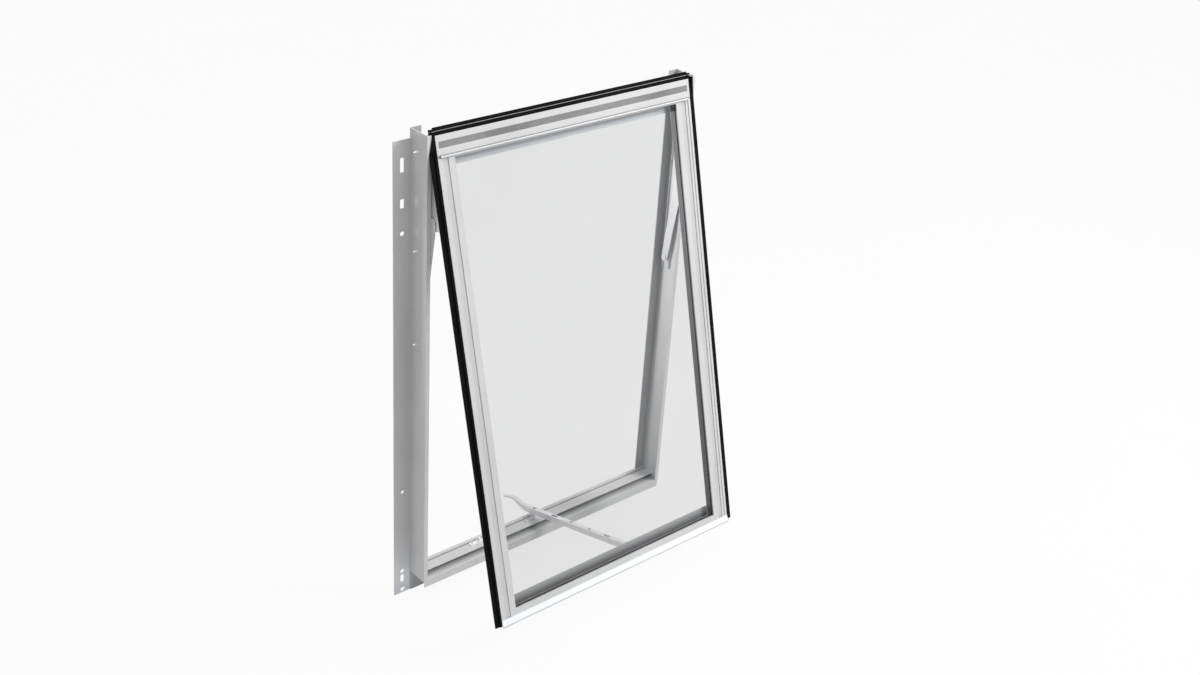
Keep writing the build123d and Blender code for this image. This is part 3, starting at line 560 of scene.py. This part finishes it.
class Model:
    """A new mesh shaped by operators, in metres in the shared frame."""

    WELD = 0.000001
    HOLE_SIDES = 8
    SMOOTH_ANGLE = 0.6

    def __init__(self, name: str, add: Callable[..., object], **settings: object) -> None:
        """Start from a primitive.

        Args:
            name: Name of the new object.
            add: Operator that adds the primitive.
            **settings: Settings of that operator.
        """
        bpy.ops.object.select_all(action="DESELECT")
        add(**settings)
        self.item = bpy.context.object
        self.item.name = name
        self.item.data.name = name
        self.settle()

    def settle(self) -> None:
        """Move the object's place, turn and size into its mesh."""
        bpy.ops.object.select_all(action="DESELECT")
        self.item.select_set(True)
        bpy.context.view_layer.objects.active = self.item
        bpy.ops.object.transform_apply(location=True, rotation=True, scale=True)

    def pick(self, chosen: Picker) -> None:
        """Enter edit mode with some vertices selected.

        Args:
            chosen: Tells from a vertex's place whether it is selected.
        """
        bpy.context.view_layer.objects.active = self.item
        bpy.ops.object.mode_set(mode="EDIT")
        bpy.ops.mesh.select_mode(type="VERT")
        bpy.ops.mesh.select_all(action="DESELECT")
        bpy.ops.object.mode_set(mode="OBJECT")
        for vertex in self.item.data.vertices:
            vertex.select = chosen(vertex.co)
        bpy.ops.object.mode_set(mode="EDIT")

    def shift(self, chosen: Picker, by: Place) -> None:
        """Move some vertices.

        Args:
            chosen: Tells from a vertex's place whether it moves.
            by: Move in metres.
        """
        self.pick(chosen)
        bpy.ops.transform.translate(value=by)
        bpy.ops.object.mode_set(mode="OBJECT")

    def modify(self, kind: str, **settings: object) -> None:
        """Add a modifier and apply it.

        Args:
            kind: Modifier type.
            **settings: Properties of the modifier.
        """
        bpy.context.view_layer.objects.active = self.item
        made = self.item.modifiers.new(kind.lower(), kind)
        for key, value in settings.items():
            setattr(made, key, value)
        bpy.ops.object.modifier_apply(modifier=made.name)

    def close(self) -> None:
        """Fill open ends, turn the normals outward and smooth the round faces."""
        bpy.context.view_layer.objects.active = self.item
        bpy.ops.object.mode_set(mode="EDIT")
        bpy.ops.mesh.select_all(action="SELECT")
        bpy.ops.mesh.remove_doubles(threshold=self.WELD)
        bpy.ops.mesh.fill_holes(sides=self.HOLE_SIDES)
        bpy.ops.mesh.select_all(action="SELECT")
        bpy.ops.mesh.normals_make_consistent(inside=False)
        bpy.ops.object.mode_set(mode="OBJECT")
        self.settle()
        bpy.ops.object.shade_smooth_by_angle(angle=self.SMOOTH_ANGLE)

    def copy(self, name: str, turn: Matrix, place: Sequence[float]) -> bpy.types.Object:
        """Copy the piece with its own mesh.

        Args:
            name: Name of the copy.
            turn: Turn of the copy.
            place: Place of the copy.

        Returns:
            The copy, its place in its mesh.
        """
        bpy.ops.object.select_all(action="DESELECT")
        self.item.select_set(True)
        bpy.context.view_layer.objects.active = self.item
        bpy.ops.object.duplicate(linked=False)
        made = bpy.context.object
        made.name = name
        made.data.name = name
        made.matrix_world = Matrix.Translation(Vector(place)) @ turn.to_4x4()
        bpy.ops.object.transform_apply(location=True, rotation=True, scale=True)
        return made

    def drop(self) -> None:
        """Take away the piece that was copied."""
        bpy.data.objects.remove(self.item, do_unlink=True)


class Detail:
    """Small pieces that are modelled here and ride with one body."""

    title: str
    body: str
    slot: Slot

    def build(self) -> List[bpy.types.Object]:
        """Model the pieces."""
        raise NotImplementedError

    def dress(self, materials: Dict[Slot, bpy.types.Material]) -> None:
        """Build the pieces, give them their finish and let them ride with their body.

        Args:
            materials: Materials by slot.
        """
        for piece in self.build():
            piece.data.materials.clear()
            piece.data.materials.append(materials[self.slot])
            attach(piece, self.body)
            LOG.info("%s: %s", self.title, piece.name)


@dataclass
class GasketEnds(Detail):
    """Upper ends of the side gaskets, bent out over the front flanges."""

    title: str = "gasket ends"
    body: str = "sash"
    slot: Slot = Slot.GASKET
    root: float = 0.3229
    crease: float = 0.3268
    tip: float = 0.3328
    taper: float = 0.66
    foot: float = 0.4615
    top: float = 0.5010
    front: float = -0.0572
    seat: float = 0.0016
    thick: float = 0.0016
    edge: float = 0.0004
    edge_steps: int = 2
    columns: int = 5
    rows: int = 8
    least_move: float = 0.00001
    near_across: float = 0.0002
    near_height: float = 0.0005

    def build(self) -> List[bpy.types.Object]:
        """Model both ends."""
        return [self.build_end("left_gasket_end", -1.0), self.build_end("right_gasket_end", 1.0)]

    def near(self, out: float, height: float) -> Picker:
        """Test for the grid point at a distance from the middle and a height.

        Args:
            out: Distance of the point from the middle.
            height: Height of the point.

        Returns:
            A test that takes a vertex's place.
        """
        def is_near(place: Vector) -> bool:
            """Tell whether a vertex is the grid point."""
            level = abs(place.z - height) < self.near_height
            return level and abs(abs(place.x) - out) < self.near_across

        return is_near

    def build_end(self, name: str, side: float) -> bpy.types.Object:
        """Bend a grid into one lip end.

        Args:
            name: Name of the piece.
            side: -1 for the left, 1 for the right.

        Returns:
            The piece.
        """
        model = Model(name, bpy.ops.mesh.primitive_grid_add, x_subdivisions=self.columns,
                      y_subdivisions=self.rows, size=1.0, rotation=(math.pi / 2, 0.0, 0.0))
        model.pick(lambda place: True)
        bpy.ops.transform.resize(value=(self.tip - self.root, 1.0, self.top - self.foot))
        middle = (side * (self.root + self.tip) / 2, self.front, (self.foot + self.top) / 2)
        bpy.ops.transform.translate(value=middle)
        bpy.ops.object.mode_set(mode="OBJECT")
        for row in range(self.rows + 1):
            self.bend_row(model, side, row / self.rows)
        model.modify("SOLIDIFY", thickness=self.thick, offset=0.0)
        model.modify("BEVEL", width=self.edge, segments=self.edge_steps, limit_method="ANGLE")
        model.close()
        return model.item

    def bend_row(self, model: Model, side: float, share: float) -> None:
        """Lean a row of the grid back to the gasket at its root and narrow it.

        Args:
            model: Lip end in the making.
            side: -1 for the left, 1 for the right.
            share: Share of the height at which the row lies.
        """
        height = self.foot + (self.top - self.foot) * share
        back = max(0.0, SASH_PLANE.face_y(height) + self.seat - self.front)
        width = self.tip - self.root
        outs = [self.root + width * column / self.columns for column in range(self.columns + 1)]
        for out in outs[:-1]:
            move = back * max(0.0, (self.crease - out) / (self.crease - self.root))
            if move > self.least_move:
                model.shift(self.near(out, height), (0.0, move, 0.0))
        for out in outs[1:]:
            narrow = -side * (out - self.root) * self.taper * share
            model.shift(self.near(out, height), (narrow, 0.0, 0.0))


@dataclass
class ScrewThreads(Detail):
    """Thread on the tips of the track screws, outside the jamb webs."""

    title: str = "screw threads"
    body: str = "frame"
    slot: Slot = Slot.FIXING
    start: float = 0.3370
    line: float = -0.0295
    heights: Tuple[float, ...] = (0.064, 0.2635, 0.463)
    core: float = 0.00188
    ridge: float = 0.0006
    ridge_sides: int = 3
    pitch: float = 0.0014
    turns: int = 6
    steps: int = 16

    def build(self) -> List[bpy.types.Object]:
        """Model one thread and copy it to every screw.

        Returns:
            The threads.
        """
        model = Model("thread", bpy.ops.mesh.primitive_circle_add, vertices=self.ridge_sides,
                      radius=self.ridge, fill_type="NOTHING", location=(0.0, self.core, 0.0))
        model.modify("SCREW", axis="X", angle=math.tau, screw_offset=self.pitch, iterations=self.turns,
                     steps=self.steps, render_steps=self.steps)
        model.close()
        made = []
        half_turn = Matrix.Rotation(math.pi, 3, "Z")
        for number, height in enumerate(self.heights, 1):
            right, left = (self.start, self.line, height), (-self.start, self.line, height)
            made.append(model.copy(f"right_thread_{number}", Matrix.Identity(3), right))
            made.append(model.copy(f"left_thread_{number}", half_turn, left))
        model.drop()
        return made


@dataclass
class PaintedRecessShades(Detail):
    """Flat dark crosses on the small screw heads, painted shade standing in for their cross recesses."""

    title: str
    body: str
    places: List[Place]
    facing: Place
    arm: float = 0.0019
    half: float = 0.00045
    half_thick: float = 0.00004
    # The crosses take the dark shoe plastic as painted shade.
    slot: Slot = Slot.SHOE
    facing_limit: float = 0.9
    middle_reach: float = 1.5

    def build(self) -> List[bpy.types.Object]:
        """Model one recess and copy it to every place.

        Returns:
            The recesses.
        """
        model = Model("recess", bpy.ops.mesh.primitive_cube_add, size=2.0 * self.half)
        for axis in ((1.0, 0.0, 0.0), (-1.0, 0.0, 0.0), (0.0, 1.0, 0.0), (0.0, -1.0, 0.0)):
            self.grow(model, Vector(axis))
        model.pick(lambda place: True)
        bpy.ops.transform.resize(value=(1.0, 1.0, self.half_thick / self.half))
        bpy.ops.object.mode_set(mode="OBJECT")
        model.close()
        turn = Vector(self.facing).to_track_quat("Z", "Y").to_matrix()
        made = []
        for number, place in enumerate(self.places, 1):
            made.append(model.copy(f"{self.title}_recess_{number}", turn, place))
        model.drop()
        return made

    def grow(self, model: Model, axis: Vector) -> None:
        """Extrude one side of the middle cube into an arm.

        Args:
            model: Recess in the making.
            axis: Direction of the arm.
        """
        bpy.ops.object.mode_set(mode="EDIT")
        bpy.ops.mesh.select_mode(type="FACE")
        bpy.ops.mesh.select_all(action="DESELECT")
        bpy.ops.object.mode_set(mode="OBJECT")
        for polygon in model.item.data.polygons:
            faces_axis = polygon.normal.dot(axis) > self.facing_limit
            polygon.select = faces_axis and polygon.center.length < self.half * self.middle_reach
        bpy.ops.object.mode_set(mode="EDIT")
        reach = axis * (self.arm - self.half)
        bpy.ops.mesh.extrude_region_move(TRANSFORM_OT_translate={"value": reach})
        bpy.ops.object.mode_set(mode="OBJECT")


# Heads of the peg screws on the sill and of the screws in the sash plates.
PEG_HEADS: List[Place] = [(x, -0.018, -0.48518) for x in (-0.182, -0.146, -0.028, 0.008)]
RIGHT_HEADS: List[Place] = [
    (0.31898, -0.07729, 0.32991),
    (0.31898, -0.06147, 0.39038),
    (0.31898, -0.04564, 0.45084),
]
LEFT_HEADS: List[Place] = [(-x, y, z) for x, y, z in RIGHT_HEADS]

DETAILS: List[Detail] = [
    GasketEnds(),
    ScrewThreads(),
    # Painted shade in the cross recesses of the peg and plate screws.
    PaintedRecessShades("peg_screw", "frame", PEG_HEADS, facing=(0.0, 0.0, 1.0)),
    PaintedRecessShades("right_plate_screw", "sash", RIGHT_HEADS, facing=(-1.0, 0.0, 0.0), arm=0.0016, half=0.0004),
    PaintedRecessShades("left_plate_screw", "sash", LEFT_HEADS, facing=(1.0, 0.0, 0.0), arm=0.0016, half=0.0004),
]


@dataclass(frozen=True)
class AreaLight:
    """One soft studio light."""

    name: str
    place: Place
    target: Place
    size: float
    power: float
    spread: float = math.pi

    def build(self) -> bpy.types.Object:
        """Add the light.

        Returns:
            The light object.
        """
        bpy.ops.object.select_all(action="DESELECT")
        bpy.ops.object.light_add(type="AREA", location=self.place)
        light = bpy.context.object
        light.name = self.name
        light.data.shape = "DISK"
        light.data.size = self.size
        light.data.energy = self.power
        light.data.spread = self.spread
        aim = Vector(self.target) - Vector(self.place)
        light.rotation_euler = aim.to_track_quat("-Z", "Y").to_euler()
        return light


@dataclass
class Studio:
    """Camera, floor, world and lights."""

    eye: Place = (-1.82449, -2.17149, 1.47741)
    right: Place = (0.75663, -0.65099, 0.06120)
    up: Place = (0.26561, 0.39154, 0.88101)
    lens: float = 45.28
    sensor: float = 36.0
    farthest: float = 200.0
    floor_z: float = -0.552
    floor_size: float = 40.0
    floor_light: Colour = (0.62, 0.62, 0.62)
    floor_dark: Colour = (0.58, 0.58, 0.58)
    floor_roughness: float = 0.9
    floor_speck: float = 3.0
    floor_span: Span = (0.3, 0.7)
    floor_glow: float = 0.94
    white: Tuple[float, float, float, float] = (1.0, 1.0, 1.0, 1.0)
    world_level: float = 0.53
    lights: List[AreaLight] = field(default_factory=lambda: [
        AreaLight("key", place=(2.3, -2.2, 2.4), target=(0.0, -0.1, 0.0), size=1.2, power=105.0),
        AreaLight("overhead", place=(0.0, -0.5, 3.5), target=(0.0, -0.1, 0.0), size=2.0, power=28.0),
        AreaLight("room fill", place=(-0.75, 0.60, 0.12), target=(0.333, -0.03, 0.12), size=0.35, power=1.0,
                  spread=0.95),
    ])

    def build(self) -> None:
        """Set up everything round the object."""
        self.build_camera()
        self.build_floor()
        self.build_world()
        for light in self.lights:
            light.build()
        bpy.context.scene.view_settings.view_transform = "Standard"

    def build_camera(self) -> bpy.types.Object:
        """Add the camera at the photo's place.

        Returns:
            The camera object.
        """
        right = Vector(self.right).normalized()
        up = Vector(self.up)
        up = (up - right * up.dot(right)).normalized()
        back = right.cross(up)
        bpy.ops.object.select_all(action="DESELECT")
        bpy.ops.object.camera_add()
        camera = bpy.context.object
        turn = Matrix((right, up, back)).transposed().to_4x4()
        camera.matrix_world = Matrix.Translation(Vector(self.eye)) @ turn
        camera.data.sensor_fit = "HORIZONTAL"
        camera.data.sensor_width = self.sensor
        camera.data.lens = self.lens
        camera.data.clip_end = self.farthest
        bpy.context.scene.camera = camera
        return camera

    @staticmethod
    def seen(graph: Graph) -> Wire:
        """Find the rays that show the background.

        Args:
            graph: Graph of the floor or the world.

        Returns:
            One for a ray from the camera, a reflection or a clear pane.
        """
        camera = graph.node("ShaderNodeLightPath", out="Is Camera Ray")
        glossy = graph.node("ShaderNodeLightPath", out="Is Glossy Ray")
        clear = graph.node("ShaderNodeLightPath", out="Is Transmission Ray")
        return camera.most(glossy).most(clear)

    def build_floor(self) -> bpy.types.Object:
        """Add the pale floor, plain white to the camera.

        Returns:
            The floor object.
        """
        bpy.ops.object.select_all(action="DESELECT")
        bpy.ops.mesh.primitive_plane_add(size=self.floor_size, location=(0.0, 0.0, self.floor_z))
        floor = bpy.context.object
        floor.name = "floor"
        material = bpy.data.materials.new("floor")
        material.use_nodes = True
        graph = Graph(material.node_tree)
        speck = graph.noise(self.floor_speck).ramp(*self.floor_span)
        colour = graph.mix(speck, self.floor_light, self.floor_dark)
        matt_feeds: Feeds = {"Base Color": colour, "Roughness": self.floor_roughness}
        matt = graph.node("ShaderNodeBsdfPrincipled", matt_feeds)
        plain = graph.node("ShaderNodeEmission", {"Color": self.white, "Strength": 1.0})
        glow = self.seen(graph) * self.floor_glow
        graph.surface(graph.node("ShaderNodeMixShader", {0: glow, 1: matt, 2: plain}))
        floor.data.materials.append(material)
        return floor

    def build_world(self) -> None:
        """Even soft light from all round, plain white to the camera."""
        world = bpy.data.worlds.new("studio")
        world.use_nodes = True
        bpy.context.scene.world = world
        graph = Graph(world.node_tree)
        level = self.seen(graph) * (1.0 - self.world_level) + self.world_level
        light = graph.node("ShaderNodeBackground", {"Color": self.white, "Strength": level})
        graph.surface(light, "ShaderNodeOutputWorld")


def main() -> None:
    """Dress the window and set up the studio."""
    logging.basicConfig(level=logging.INFO, format="%(name)s: %(message)s")
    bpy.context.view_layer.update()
    materials = {slot: finish.build() for slot, finish in FINISHES.items()}
    for assembly in ASSEMBLIES:
        assembly.dress(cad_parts, materials)
    for detail in DETAILS:
        detail.dress(materials)
    Studio().build()


if __name__ == "__main__":
    main()
